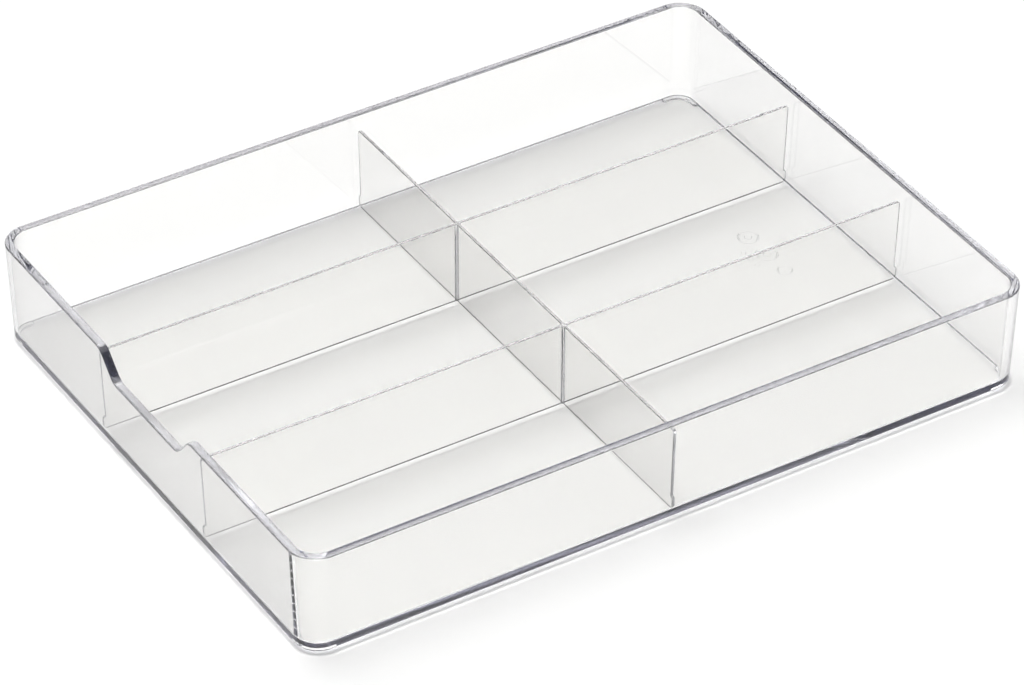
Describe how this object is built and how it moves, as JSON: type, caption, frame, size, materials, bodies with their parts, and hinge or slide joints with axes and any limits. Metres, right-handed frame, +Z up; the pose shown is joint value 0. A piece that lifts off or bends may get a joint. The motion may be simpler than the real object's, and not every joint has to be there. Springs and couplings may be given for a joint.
{
  "type": "drawer organizer insert",
  "caption": "Shallow clear rectangular drawer tray with rounded corners, a finger notch in one end wall, low corner feet and a loose lift-out divider grid.",
  "frame": {"origin": "centre of the footprint, on the resting plane under the four corner feet", "axes": "+X along the long side, away from the wall with the finger notch; +Y along the short side; +Z up"},
  "size_m": [0.32, 0.238, 0.0455],
  "materials": {
    "tray_clear": "crystal-clear moulded polystyrene, polished inside and out",
    "divider_clear": "crystal-clear moulded polystyrene, polished"
  },
  "bodies": {
    "tray": {"tray_shell": "tray_clear"},
    "dividers": {"divider_grid": "divider_clear"}
  },
  "joints": [
    {"name": "dividers_lift", "type": "slide", "parent": "tray", "child": "dividers", "axis": [0, 0, 1], "range_m": [0, 0.06]}
  ]
}
